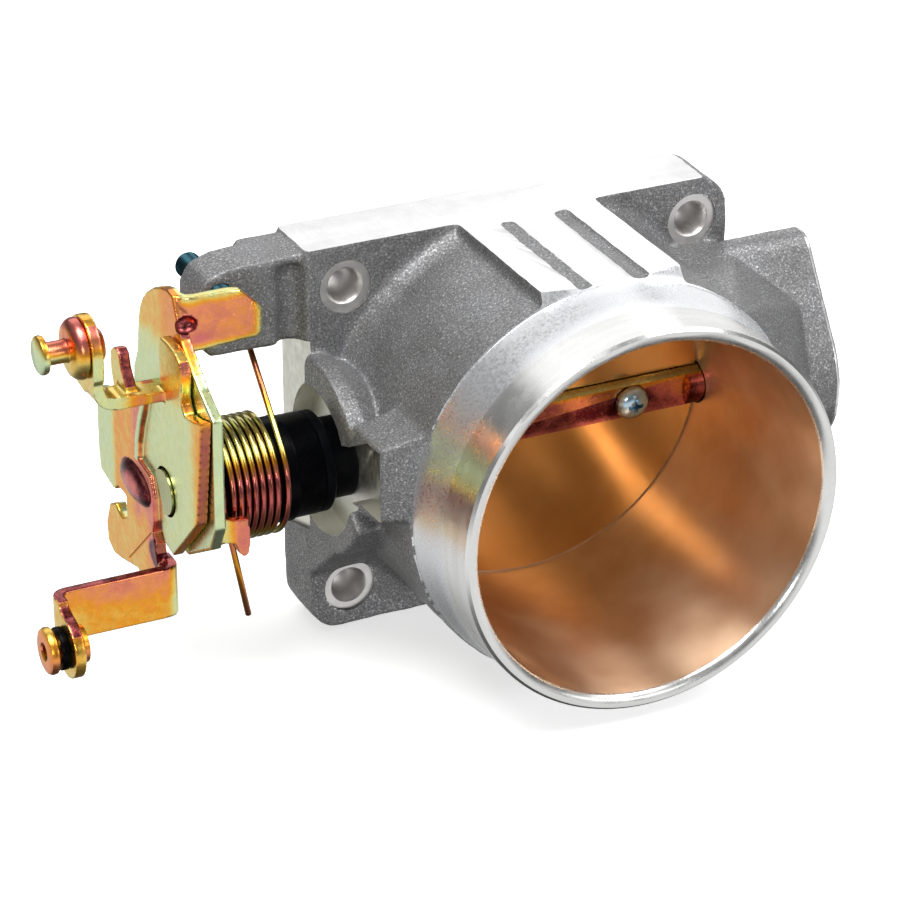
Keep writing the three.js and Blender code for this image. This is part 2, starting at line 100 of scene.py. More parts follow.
SHAFT_FLAT, LEVER_FLAT = 2.9, 2.2  # from the axis, under the plate and the levers
SHEET = 2.4                       # levers' sheet; their X are the sheet's left face
LEVER_X = -83.6
STOP_LEVER_X = -80.9
EAR_X = -98.8
STUD_Y, STUD_Z = 4.4, 33.6
EYELET_X, EYELET_Y, EYELET_Z = LEVER_LOW[0], -7.9, -26
SPRING_R, WIRE_R, SPRING_PITCH, SPRING_LEFT = 12.4, 0.65, 1.62, -76

CAST_VOXEL = 0.6
SHEET_VOXEL = 0.3
ROUND = 256      # sides of the big turned surfaces


# ------------------------------------------------------------------ solids in millimetres
def place(axis, u, v, along):
    """Outlines are [y, z] for x, [z, x] for y and [x, y] for z, as in the CAD."""
    return {"x": (along, u, v), "y": (v, along, u), "z": (u, v, along)}[axis]


def prism(axis, outline, low, high):
    n = len(outline)
    verts = [place(axis, u, v, a) for a in (low, high) for u, v in outline]
    sides = [(i, (i + 1) % n, n + (i + 1) % n, n + i) for i in range(n)]
    return verts, [tuple(reversed(range(n))), tuple(range(n, 2 * n)), *sides]


def loft(axis, low_outline, high_outline, low, high):
    """A prism whose outline changes along the axis; both outlines have as many points."""
    verts, faces = prism(axis, low_outline, low, high)
    n = len(low_outline)
    return verts[:n] + [place(axis, u, v, high) for u, v in high_outline], faces


def panel(outline, low, high):
    return prism("y", [(z, x) for x, z in outline], low, high)


def block(x0, x1, y0, y1, z0, z1):
    return prism("z", [(x0, y0), (x1, y0), (x1, y1), (x0, y1)], z0, z1)


def arc(cu, cv, r, start, end, steps):
    angles = np.radians(np.linspace(start, end, steps + 1))
    return [(cu + r * math.cos(t), cv + r * math.sin(t)) for t in angles]


def disc(axis, r, low, high, cu=0.0, cv=0.0, sides=48):
    return prism(axis, arc(cu, cv, r, 0, 360, sides)[:-1], low, high)


def lathe(axis, profile, cu=0.0, cv=0.0, sides=64):
    """Turns [radius, place along the axis] points.  The profile ends on the axis or closes."""
    closed = profile[0] == profile[-1]
    points = profile[:-1] if closed else profile
    verts, rings = [], []
    for r, along in points:
        if r < 1e-6:
            rings.append([len(verts)] * sides)
            verts.append(place(axis, cu, cv, along))
        else:
            rings.append(list(range(len(verts), len(verts) + sides)))
            verts += [place(axis, u, v, along) for u, v in arc(cu, cv, r, 0, 360, sides)[:-1]]
    faces = []
    pairs = list(zip(rings, rings[1:])) + ([(rings[-1], rings[0])] if closed else [])
    for low, high in pairs:
        for i in range(sides):
            j = (i + 1) % sides
            corners = [low[i], low[j], high[j], high[i]]
            face = tuple(dict.fromkeys(corners))
            if len(face) > 2:
                faces.append(face)
    return verts, faces


def hull(points):
    bm = bmesh.new()
    made = [bm.verts.new(p) for p in points]
    bmesh.ops.convex_hull(bm, input=made)
    bm.verts.index_update()
    loose = [v for v in bm.verts if not v.link_faces]
    bmesh.ops.delete(bm, geom=loose, context="VERTS")
    bm.verts.index_update()
    shape = ([tuple(v.co) for v in bm.verts], [tuple(v.index for v in f.verts) for f in bm.faces])
    bm.free()
    return shape


def at_shaft(shape):
    """Moves a shape drawn about the shaft's axis to that axis."""
    verts, faces = shape
    return [(x, SHAFT_Y + y, z) for x, y, z in verts], faces


def tilted(shape, angle):
    """Turns a shape drawn about the shaft's axis, and moves it there."""
    verts, faces = shape
    c, s = math.cos(angle), math.sin(angle)
    return [(x, SHAFT_Y + c * y - s * z, s * y + c * z) for x, y, z in verts], faces


def bent_strip(corners, radius, thickness, steps=8):
    """Outline of a sheet bent through these corners of its centre line."""
    line = [Vector(corners[0])]
    for before, at, after in zip(corners, corners[1:], corners[2:]):
        at = Vector(at)
        start = at + (Vector(before) - at).normalized() * radius
        end = at + (Vector(after) - at).normalized() * radius
        for k in range(steps + 1):
            t = k / steps
            line.append((1 - t) ** 2 * start + 2 * t * (1 - t) * at + t ** 2 * end)
    line.append(Vector(corners[-1]))
    sides = {1: [], -1: []}
    for i, p in enumerate(line):
        along = (line[min(len(line) - 1, i + 1)] - line[max(0, i - 1)]).normalized()
        across = Vector((-along.y, along.x)) * thickness / 2
        for sign in sides:
            sides[sign].append(tuple(p + sign * across))
    return sides[1] + sides[-1][::-1]


# ------------------------------------------------------------------ objects from solids
def make(name, *shapes):
    verts, faces = [], []
    for points, polygons in shapes:
        start = len(verts)
        verts += [tuple(MM * c for c in p) for p in points]
        faces += [tuple(start + i for i in polygon) for polygon in polygons]
    mesh = bpy.data.meshes.new(name)
    mesh.from_pydata(verts, [], faces)
    bm = bmesh.new()
    bm.from_mesh(mesh)
    bmesh.ops.recalc_face_normals(bm, faces=bm.faces)
    bm.to_mesh(mesh)
    bm.free()
    obj = bpy.data.objects.new(name, mesh)
    bpy.context.collection.objects.link(obj)
    return obj


def settle(obj):
    """Puts the modifiers' result in the mesh."""
    graph = bpy.context.evaluated_depsgraph_get()
    mesh = bpy.data.meshes.new_from_object(obj.evaluated_get(graph))
    mesh.materials.clear()
    old = obj.data
    obj.modifiers.clear()
    obj.data = mesh
    bpy.data.meshes.remove(old)
    return obj


def combine(obj, operation, *shapes):
    tools = [make("tool", shape) for shape in shapes]
    for tool in tools:
        step = obj.modifiers.new("combine", "BOOLEAN")
        step.operation = operation
        step.solver = "MANIFOLD"
        step.object = tool
    settle(obj)
    for tool in tools:
        bpy.data.meshes.remove(tool.data)
    return obj


def soften(obj, voxel, rounds):
    """Merges overlapping solids into one skin and rounds its edges and corners."""
    remesh = obj.modifiers.new("remesh", "REMESH")
    remesh.mode = "VOXEL"
    remesh.voxel_size = voxel * MM
    smooth = obj.modifiers.new("smooth", "SMOOTH")
    smooth.iterations = rounds
    return settle(obj)


def ripple(obj, layers):
    """Moves the skin along its normals by layered noise: (feature size, height) in mm."""
    co, no = points_of(obj.data)
    height = [sum(tall * noise.noise(p / size) for size, tall in layers) for p in co]
    moved = (co + no * np.array(height)[:, None]) * MM
    obj.data.vertices.foreach_set("co", moved.ravel())
    obj.data.update()
    return obj


def points_of(mesh):
    """Each vertex's place in millimetres, and its normal."""
    co = np.empty(len(mesh.vertices) * 3)
    no = np.empty(len(mesh.vertices) * 3)
    mesh.vertices.foreach_get("co", co)
    mesh.vertices.foreach_get("normal", no)
    return co.reshape(-1, 3) / MM, no.reshape(-1, 3)


def shade(obj, angle=35):
    obj.data.shade_smooth()
    obj.data.set_sharp_from_angle(angle=math.radians(angle))
    return obj


def finish_piece(obj, body, slot, nodes, *materials):
    for material in materials:
        obj.data.materials.append(material)
    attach(obj, body)
    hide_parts(*nodes)
    return obj


def paint(obj, tests):
    """Gives each face the first material index whose test on (centre, normal) holds."""
    mesh = obj.data
    count = len(mesh.polygons)
    centre, normal = np.empty(count * 3), np.empty(count * 3)
    mesh.polygons.foreach_get("center", centre)
    mesh.polygons.foreach_get("normal", normal)
    centre, normal = centre.reshape(-1, 3) / MM, normal.reshape(-1, 3)
    index = np.zeros(count, dtype=np.int32)
    for number, test in reversed(list(enumerate(tests, 1))):
        index[test(centre, normal)] = number
    mesh.polygons.foreach_set("material_index", index)


# ------------------------------------------------------------------ materials
class Look:
    """A Principled material and short names for the nodes that drive it."""

    def __init__(self, name, colour, metallic, roughness, **sockets):
        self.material = bpy.data.materials.new(name)
        self.material.use_nodes = True
        self.tree = self.material.node_tree
        self.shader = self.tree.nodes["Principled BSDF"]
        self.set("Base Color", (*colour, 1))
        self.set("Metallic", metallic)
        self.set("Roughness", roughness)
        for socket, value in sockets.items():
            self.set(socket.replace("_", " "), value)
        self.place = self.node("ShaderNodeTexCoord").outputs["Object"]

    def node(self, kind, **settings):
        made = self.tree.nodes.new(kind)
        for key, value in settings.items():
            setattr(made, key, value)
        return made

    def put(self, socket, value):
        """Links the socket to another node's output, or sets its value."""
        if hasattr(value, "is_linked"):
            self.tree.links.new(value, socket)
        else:
            socket.default_value = value

    def set(self, socket, value):
        self.put(self.shader.inputs[socket], value)

    def feed(self, node, **inputs):
        """Sets or links a node's sockets: _0 is the first one, a name is that one."""
        for key, value in inputs.items():
            self.put(node.inputs[int(key[1:]) if key[0] == "_" else key], value)
        return node

    def noise(self, size, detail=2.0, rough=0.5, stretch=None):
        """Noise whose features are about this many millimetres across."""
        vector = self.place
        if stretch:
            scale = self.feed(self.node("ShaderNodeVectorMath", operation="MULTIPLY"),
                              _0=self.place, _1=stretch)
            vector = scale.outputs[0]
        texture = self.feed(self.node("ShaderNodeTexNoise"), Vector=vector,
                            Scale=1 / (size * MM), Detail=detail, Roughness=rough)
        return texture.outputs["Fac"]

    def ramp(self, value, stops):
        node = self.feed(self.node("ShaderNodeValToRGB"), Fac=value)
        points = node.color_ramp.elements
        while len(points) < len(stops):
            points.new(0.5)
        for point, (position, colour) in zip(points, stops):
            point.position = position
            point.color = (*colour, 1)
        return node.outputs["Color"]

    def spread(self, value, low, high, new_low, new_high):
        node = self.feed(self.node("ShaderNodeMapRange"), _0=value, _1=low, _2=high,
                         _3=new_low, _4=new_high)
        return node.outputs["Result"]

    def sum(self, a, b):
        return self.feed(self.node("ShaderNodeMath", operation="ADD"), _0=a, _1=b).outputs[0]

    def multiply(self, a, b):
        node = self.node("ShaderNodeMix", data_type="RGBA", blend_type="MULTIPLY")
        return self.feed(node, _0=1.0, _6=a, _7=b).outputs[2]

    def bump(self, *layers):
        """Stacks bumps: (height value, depth in millimetres)."""
        last = None
        for height, depth in layers:
            node = self.feed(self.node("ShaderNodeBump"), Height=height, Distance=depth * MM)
            if last is not None:
                self.tree.links.new(last, node.inputs["Normal"])
            last = node.outputs["Normal"]
        self.tree.links.new(last, self.shader.inputs["Normal"])

    def stain(self, value, colour, share, full):
        """The colour, darkened to this share where value is low and whole from full on."""
        return self.ramp(value, [(0.3, tuple(c * share for c in colour)), (full, colour)])

    def vary_roughness(self, value, roughness, low, high):
        """Takes it from the low share to the high one as value goes from 0.3 to 0.7."""
        self.set("Roughness", self.spread(value, 0.3, 0.7, roughness * low, roughness * high))

    def attribute(self, name):
        return self.node("ShaderNodeAttribute", attribute_name=name).outputs["Fac"]


def cast_look():
    """Sand-blasted casting: a fine grain whose colour is painted dark in its pits as shade and near
    white on its crests as glints, over the grain's own grey.
    """
    look = Look("cast_aluminium", (0.3, 0.3, 0.31), 0.5, 0.5)
    grain = look.noise(0.42, 3, 0.7)
    sand = look.noise(0.9, 3, 0.6)
    patches = look.noise(9, 3)
    # the grain's colour: painted pit shade at its low end, its own grey in the middle, painted
    # glints at its high end
    tone = look.ramp(grain, [(0.34, (0.15, 0.152, 0.158)), (0.5, (0.25, 0.252, 0.26)),
                             (0.6, (0.34, 0.34, 0.345)), (0.7, (0.9, 0.9, 0.9))])
    shadow = look.ramp(patches, [(0.3, (0.82, 0.81, 0.79)), (0.7, (1, 1, 1))])
    look.set("Base Color", look.multiply(tone, shadow))
    look.set("Roughness", look.spread(grain, 0.35, 0.7, 0.58, 0.34))
    look.bump((sand, 0.10), (grain, 0.06))
    return look.material


def grooves(look, amount):
    """Lathe grooves around the bore: reflections spread along its axis."""
    tangent = look.node("ShaderNodeTangent")
    tangent.direction_type, tangent.axis = "RADIAL", "Y"
    look.set("Tangent", tangent.outputs[0])
    look.set("Anisotropic", amount)
    look.set("Anisotropic Rotation", 0.25)


def turned_look(name, colour, roughness, depth, wear=0.08):
    """A surface turned about the bore: fine rings that run round it."""
    look = Look(name, colour, 1.0, roughness)
    rings = look.noise(0.3, 2, 0.6, stretch=(0.004, 1.0, 0.004))
    bands = look.noise(2.6, 2, 0.5, stretch=(0.05, 1.0, 0.05))
    smears = look.noise(5.0, 3, 0.6)
    tone = look.ramp(bands, [(0.35, tuple(c * (1 - wear) for c in colour)), (0.6, colour)])
    cloud = look.ramp(smears, [(0.3, (0.9, 0.9, 0.89)), (0.65, (1, 1, 1))])
    look.set("Base Color", look.multiply(tone, cloud))
    look.vary_roughness(smears, roughness, 0.85, 1.25)
    look.bump((rings, depth), (smears, depth))
    grooves(look, 0.6)
    return look.material


def faced_look(name, colour, roughness):
    """The fillet where the lathe tool ran into the casting: chatter along the bore."""
    look = Look(name, colour, 0.9, roughness)
    chatter = look.noise(0.8, 2, 0.6, stretch=(1.0, 0.12, 1.0))
    mottle = look.noise(0.7, 3, 0.6)
    look.set("Base Color", look.stain(mottle, colour, 0.94, 0.55))
    look.vary_roughness(mottle, roughness, 0.7, 1.3)
    look.bump((chatter, 0.004), (mottle, 0.001))
    return look.material


def milled_look(name, colour, roughness, stretch, depth=0.006):
    """Cutter marks: long along the axis whose stretch is small, depth in millimetres."""
    look = Look(name, colour, 1.0, roughness)
    lines = look.noise(0.5, 2, 0.6, stretch=stretch)
    smears = look.noise(5, 3, 0.6)
    look.set("Base Color", look.stain(smears, colour, 0.92, 0.6))
    look.vary_roughness(lines, roughness, 0.85, 1.2)
    look.bump((lines, depth), (look.noise(0.8, 2), depth / 2))
    return look.material


def copper_look(name, dark, light, roughness, grooved=0.0):
    """Copper-toned film in clouds from dark to light, with small specks."""
    look = Look(name, light, 1.0, roughness)
    rings = look.noise(0.4, 2, 0.6, stretch=(0.01, 1.0, 0.01))
    clouds = look.noise(14, 3, 0.55)
    specks = look.noise(0.5, 2)
    tone = look.ramp(clouds, [(0.3, dark), (0.65, light)])
    dots = look.ramp(specks, [(0.2, (0.5, 0.45, 0.42)), (0.26, (1, 1, 1))])
    look.set("Base Color", look.multiply(tone, dots))
    look.vary_roughness(clouds, roughness, 0.9, 1.15)
    look.bump((rings, 0.0015), (look.noise(1.6, 3), 0.003))
    if grooved:
        grooves(look, grooved)
    return look.material


# film value and colour: green, yellow, gold, orange, red, rose and nearly black
FILM = [(0.0, (0.70, 0.84, 0.50)), (0.2, (0.80, 0.82, 0.36)), (0.36, (0.92, 0.60, 0.12)),
        (0.52, (0.96, 0.38, 0.03)), (0.68, (0.92, 0.32, 0.14)), (0.84, (0.72, 0.19, 0.18)),
        (1.0, (0.10, 0.01, 0.015))]


def plated_look(name, roughness, strength, texture):
    """Zinc plate whose film shifts from green through gold to rose."""
    look = Look(name, (0.7, 0.6, 0.35), 1.0, roughness)
    # the film attribute holds the film's value and, on some pieces, painted shade, reflections and
    # highlights
    film = look.attribute("film")
    drift = look.spread(look.noise(3.5, 3, 0.6), 0.3, 0.7, -0.07, 0.07)
    fine = look.spread(look.noise(0.4, 2), 0.3, 0.7, -0.035, 0.035)
    tint = look.ramp(look.sum(look.sum(film, drift), fine),
                     [(at, tuple(strength * c for c in colour)) for at, colour in FILM])
    look.set("Base Color", tint)
    look.vary_roughness(look.noise(1.6, 3), roughness, 0.8, 1.25)
    look.bump((look.noise(0.5, 3), texture), (look.noise(4, 1), 2 * texture))
    return look.material


def plastic_look(name, colour, roughness, shine):
    look = Look(name, colour, 0.0, roughness, Specular_IOR_Level=shine)
    fine = look.noise(0.35, 3)
    look.vary_roughness(fine, roughness, 0.85, 1.2)
    look.set("Base Color", look.stain(look.noise(2.5, 3), colour, 0.6, 0.7))
    look.bump((fine, 0.008))
    return look.material


def steel_look(name, colour, roughness):
    look = Look(name, colour, 1.0, roughness)
    clouds = look.noise(1.5, 3)
    look.set("Base Color", look.stain(clouds, colour, 0.75, 0.7))
    look.vary_roughness(clouds, roughness, 0.8, 1.3)
    look.bump((look.noise(0.3, 2), 0.008))
    return look.material


CAST = cast_look()
TURNED = turned_look("turned_aluminium", (0.93, 0.93, 0.92), 0.26, 0.002)
FACED = faced_look("faced_aluminium", (0.88, 0.89, 0.91), 0.3)
MILLED = milled_look("milled_aluminium", (0.86, 0.86, 0.86), 0.3, (1.0, 0.08, 1.0))
SPOTFACE = milled_look("spotface_aluminium", (0.80, 0.78, 0.76), 0.38, (0.4, 0.4, 0.4), 0.012)
POCKET = milled_look("milled_pocket", (0.97, 0.96, 0.88), 0.45, (1.0, 0.3, 0.3))
BORE = copper_look("bore_copper", (0.74, 0.50, 0.32), (0.86, 0.62, 0.42), 0.35, 0.85)
PLATE = copper_look("plate_copper", (0.70, 0.36, 0.11), (0.78, 0.43, 0.16), 0.2)
PLATED = plated_look("yellow_zinc", 0.28, 1.0, 0.008)
WIRE = plated_look("zinc_on_wire", 0.17, 0.66, 0.004)
SHAFT_LOOK = plated_look("zinc_on_shaft", 0.25, 0.6, 0.002)
BLACK_PLASTIC = plastic_look("black_plastic", (0.0008, 0.001, 0.002), 0.3, 0.06)
BLACK_RUBBER = plastic_look("black_rubber", (0.001, 0.0015, 0.003), 0.42, 0.08)
BRIGHT_STEEL = steel_look("bright_zinc", (0.58, 0.76, 0.88), 0.2)
DARK_SCREW = steel_look("threadlocked_steel", (0.02, 0.055, 0.07), 0.3)
BRONZE = steel_look("bronze", (0.55, 0.42, 0.22), 0.35)


# ------------------------------------------------------------------ housing
def pad_outline(grow=0.0):
    lobe = 5 + grow
    lean = math.degrees(math.asin((PAD_R - 5) / PAD_SCREW_Z))
    return [*arc(SHAFT_Y, 0, PAD_R + grow, -lean, lean, 10),
            *arc(SHAFT_Y, PAD_SCREW_Z, lobe, lean, 180 - lean, 12),
            *arc(SHAFT_Y, 0, PAD_R + grow, 180 - lean, 180 + lean, 10),
            *arc(SHAFT_Y, -PAD_SCREW_Z, lobe, 180 + lean, 360 - lean, 12)]


def cast_shapes():
    """The raw casting's solids, with stock on the faces that get machined."""
    corner, top_corner, stock = 6, 9, 0.6
    x, z = FLANGE_X, TOP_Z
    flange = panel([
        *arc(x - top_corner, z + stock - top_corner, top_corner, 0, 90, 10), (-x, z + stock),
        *arc(-x + corner, -z + corner, corner, 180, 270, 8),
        *arc(x - corner, -z + corner, corner, 270, 360, 8)], -FLANGE_T, stock)
    barrel = lathe("y", [
        (0, -1), (z, -1), (z, -FLANGE_T + 1), (46.8, -FLANGE_T + 0.6), (45.3, -FLANGE_T - 1.6),
        (BARREL_R, -FLANGE_T - 4.2), (BARREL_R, MOUTH_Y - 2), (0, MOUTH_Y - 2)], sides=128)
    arm = panel([
        (-46, 23.8), (-46, z - 0.5), (-60, z - 0.6), (-66, 43.2), (-70.4, 41.8), (-72.6, 38.6),
        (-72.6, 27.2), (-70.2, 24.6)], -14.2, -3.2)
    arm_root = panel([(-46, 34), (-46, z - 0.5), (-59, z - 0.6), (-61, 40)], -14, -0.8)
    wing = [(-1, 21.5), *arc(SHAFT_Y, 0, BOSS_R, 75, 146, 16), (-30, 2), (-1, 2)]
    wing_root = [(-1, 18), *arc(SHAFT_Y, 0, BOSS_R - 4, 75, 146, 16), (-30, 2), (-1, 2)]
    boss_wing = loft("x", wing, wing, BOSS_X, -46.4)
    boss_slope = loft("x", wing, wing_root, -46.5, -40)
    boss_low = prism("x", [
        (-1, -2), (-33, -2), *arc(SHAFT_Y, 0, BOSS_R - 1.5, 205, 250, 10), (-24, -23), (-14, -31),
        (-1, -33)], BOSS_X + 0.6, -30)
    boss_box = hull([
        (-49.4, -50.6, 15.2), (-49.4, -51, -1), (-49.4, -38, 15.2), (-49.4, -36, -3),
        (-40.5, -55, 18.5), (-43.8, -55.2, 0.5), (-40.5, -39, 18.5), (-42, -36, -8), (-30, -45, 5)])
    cheek = [(20, -20, 30), (20, -20, -30)]
    for side in (1, -1):
        cheek += [(45.5, -24.5, 29.3 * side), (57, -33, 19 * side), (57, -38.6, 6 * side),
                  (45, -2, 29.3 * side), (57, -4, 19 * side)]
    cheek += [(cx, COLLAR_Y + 1.5, cz) for cx, cz in arc(0, 0, COLLAR_R - 0.6, -46, 46, 12)]
    pad = prism("x", pad_outline(), 30, PAD_X + stock)
    ribs = [block(a, b, COLLAR_Y - 3, -FLANGE_T + 2, 36, z + stock)
            for a, b in ((-15, -7.6), (-3.4, 4.7), (9, 16.7))]
    return [flange, barrel, arm, arm_root, boss_wing, boss_slope, boss_low, boss_box,
            hull(cheek), pad, *ribs]


def machining():
    """Cutters for the finished faces.  Each one is separate, because some overlap."""
    far = MOUTH_Y - 8
    shaft_hole, seal_r, cavity_r, chamfer = SHAFT_R + 0.3, 7.5, 12.5, 0.6
    sweep = [(r, y) for y, r in COLLAR_PROFILE]
    envelope = lathe("y", [
        *sweep, (60, COLLAR_PROFILE[-1][0] + 1), (60, far), (MOUTH_R - 0.6, far),
        (MOUTH_R - 0.6, MOUTH_Y), sweep[0]], sides=ROUND)
    front = block(-60, 60, far, MOUTH_Y, -60, 60)
    bore = lathe("y", [
        (0, far - 1), (BORE_R + 1.4, far - 1), (BORE_R + 1.4, MOUTH_Y),
        (BORE_R + 0.5, MOUTH_Y + 0.5), (BORE_R, MOUTH_Y + 1.3), (BORE_R, 5), (0, 5)], sides=ROUND)
    window = prism("x", [
        (-30, 8), (-37, 10.2), (-39.6, 14.2), (-50.6, 14.8), (-50.8, -0.8), (-41.8, -1), (-33, -4)],
        -60, POCKET_X)
    side = prism("x", [(5, 24.2), (-15.4, 24.2), (-15.4, -19.2), (5, -25)], -60, SIDE_X)
    cuts = [
        envelope, front, bore, window, side,
        block(-80, 80, -90, 10, TOP_Z, 60),
        block(-80, 80, 0, 10, -60, 60),
        block(PAD_X, 80, -60, 20, -60, 60),
        disc("x", POCKET_R, -60, POCKET_X, SHAFT_Y, 0, 96),
        disc("x", shaft_hole, -50, -30, SHAFT_Y, 0),
        disc("x", shaft_hole, 30, 70, SHAFT_Y, 0),
        disc("x", seal_r, POCKET_X - 1, -40.6, SHAFT_Y, 0),
        disc("x", seal_r, 42, 60, SHAFT_Y, 0),
        lathe("x", [(0, PAD_X - 8), (cavity_r, PAD_X - 8), (cavity_r, PAD_X - chamfer),
                    (cavity_r + chamfer, PAD_X), (cavity_r + chamfer, PAD_X + 2),
                    (0, PAD_X + 2)], SHAFT_Y, 0),
        disc("y", STOP_SCREW_R + 0.1, -20, 0, STOP_SCREW_Z, STOP_SCREW_X, 32),
    ]
    face = -FLANGE_T + 0.7            # the bolt heads' seats
    for x in (-BOLT_X, BOLT_X):
        for z in (-BOLT_Z, BOLT_Z):
            cuts.append(lathe("y", [
                (0, -24), (SPOTFACE_R, -24), (SPOTFACE_R, face), (BOLT_R + 0.7, face),
                (BOLT_R, face + 0.9), (BOLT_R, -0.5), (BOLT_R + 0.5, 0), (BOLT_R + 0.5, 3), (0, 3)],
                z, x, 48))
    for z in (-PAD_SCREW_Z, PAD_SCREW_Z):
        cuts.append(lathe("x", [
            (0, PAD_X - 12), (1.7, PAD_X - 11), (1.7, PAD_X - 0.5), (2.2, PAD_X), (2.2, PAD_X + 2),
            (0, PAD_X + 2)], SHAFT_Y, z, 24))
    return cuts


def housing_tests():
    """Which material each machined face gets, by where it lies."""
    def from_bore(c):
        return np.hypot(c[:, 0], c[:, 2])

    def from_shaft(c):
        return np.hypot(c[:, 1] - SHAFT_Y, c[:, 2])

    def bore(c, n):
        return (from_bore(c) < BORE_R + 0.02) & (np.abs(n[:, 1]) < 0.3)

    def turned(c, n):
        r = from_bore(c)
        collar = (c[:, 1] < MOUTH_Y + 12) & (np.abs(r - collar_radius(c[:, 1])) < 0.06)
        rim = c[:, 1] < MOUTH_Y + 1.35
        return collar | rim

    def faced(c, n):
        off = np.abs(from_bore(c) - collar_radius(c[:, 1]))
        reach = COLLAR_R + np.where(c[:, 0] < -38, 0.4, 4.85)
        return (c[:, 1] < COLLAR_Y + 3.1) & (off < 0.08) & (from_bore(c) < reach)

    def milled(c, n):
        top = (c[:, 2] > TOP_Z - 0.02) & (n[:, 2] > 0.99)
        rear = (c[:, 1] > -0.02) & (n[:, 1] > 0.99)
        pad = (c[:, 0] > PAD_X - 0.62) & (from_shaft(c) < 40)
        return top | rear | pad

    def spotface(c, n):
        r = np.hypot(np.abs(c[:, 0]) - BOLT_X, np.abs(c[:, 2]) - BOLT_Z)
        seat = (r < SPOTFACE_R + 0.05) & (n[:, 1] < -0.9)
        return (seat | (r < SPOTFACE_R - 1.2)) & (c[:, 1] < -1)

    def pocket(c, n):
        wall = (from_shaft(c) < POCKET_R + 0.05) & (c[:, 0] < -40.5)
        floor = (np.abs(c[:, 0] - POCKET_X) < 0.03) & (np.abs(n[:, 0]) > 0.99)
        within = (c[:, 0] < POCKET_X + 0.1) & (c[:, 1] > -50.9) & (c[:, 1] < -29.9)
        level = (c[:, 2] > -4.1) & (c[:, 2] < 14.9)
        window = within & level & (np.abs(n[:, 0]) < 0.01) & (n[:, 1] > -0.5)
        side = (np.abs(c[:, 0] - SIDE_X) < 0.03) & (np.abs(n[:, 0]) > 0.99)
        cavity = (from_shaft(c) < 13.2) & (c[:, 0] > 41)
        return wall | floor | window | side | cavity

    return [bore, turned, milled, pocket, faced, spotface]


def collar_radius(y):
    places, radii = zip(*COLLAR_PROFILE)
    return np.interp(y, places, radii)


def build_housing():
    obj = make("housing_casting", *cast_shapes())
    arm_groove = disc("z", 3.2, 20, 41.5, -52.6, -15.2)
    combine(obj, "DIFFERENCE", arm_groove)
    soften(obj, CAST_VOXEL, 8)
    ripple(obj, [(5.0, 0.16), (1.7, 0.07)])
    combine(obj, "DIFFERENCE", *machining())
    paint(obj, housing_tests())
    shade(obj, 38)
    return finish_piece(obj, "housing_body", "cast_aluminium", ["housing"],
                        CAST, BORE, TURNED, MILLED, POCKET, FACED, SPOTFACE)


# ------------------------------------------------------------------ plated pieces
def fade(value, low, high):
    """0 at low, 1 at high, smooth in between.  High may be the smaller one."""
    t = np.clip((value - low) / (high - low), 0, 1)
    return t * t * (3 - 2 * t)


def spot(u, v, cu, cv, ru, rv):
    """A soft round patch: 1 at its centre, fading over its two radii."""
    return np.exp(-((u - cu) / ru) ** 2 - ((v - cv) / rv) ** 2)


def film_and_painted_light_layer(obj, film):
    """Stores per vertex the value that picks the film's colour: its thickness, and on some pieces
    painted shade, reflections and highlights.  film gets x, y from the shaft, z and normals.
    """
    co, no = points_of(obj.data)
    value = film(co[:, 0], co[:, 1] - SHAFT_Y, co[:, 2], no) + np.zeros(len(co))
    layer = obj.data.attributes.new("film", "FLOAT", "POINT")
    layer.data.foreach_set("value", np.clip(value, 0, 1).astype(np.float32))
    return obj


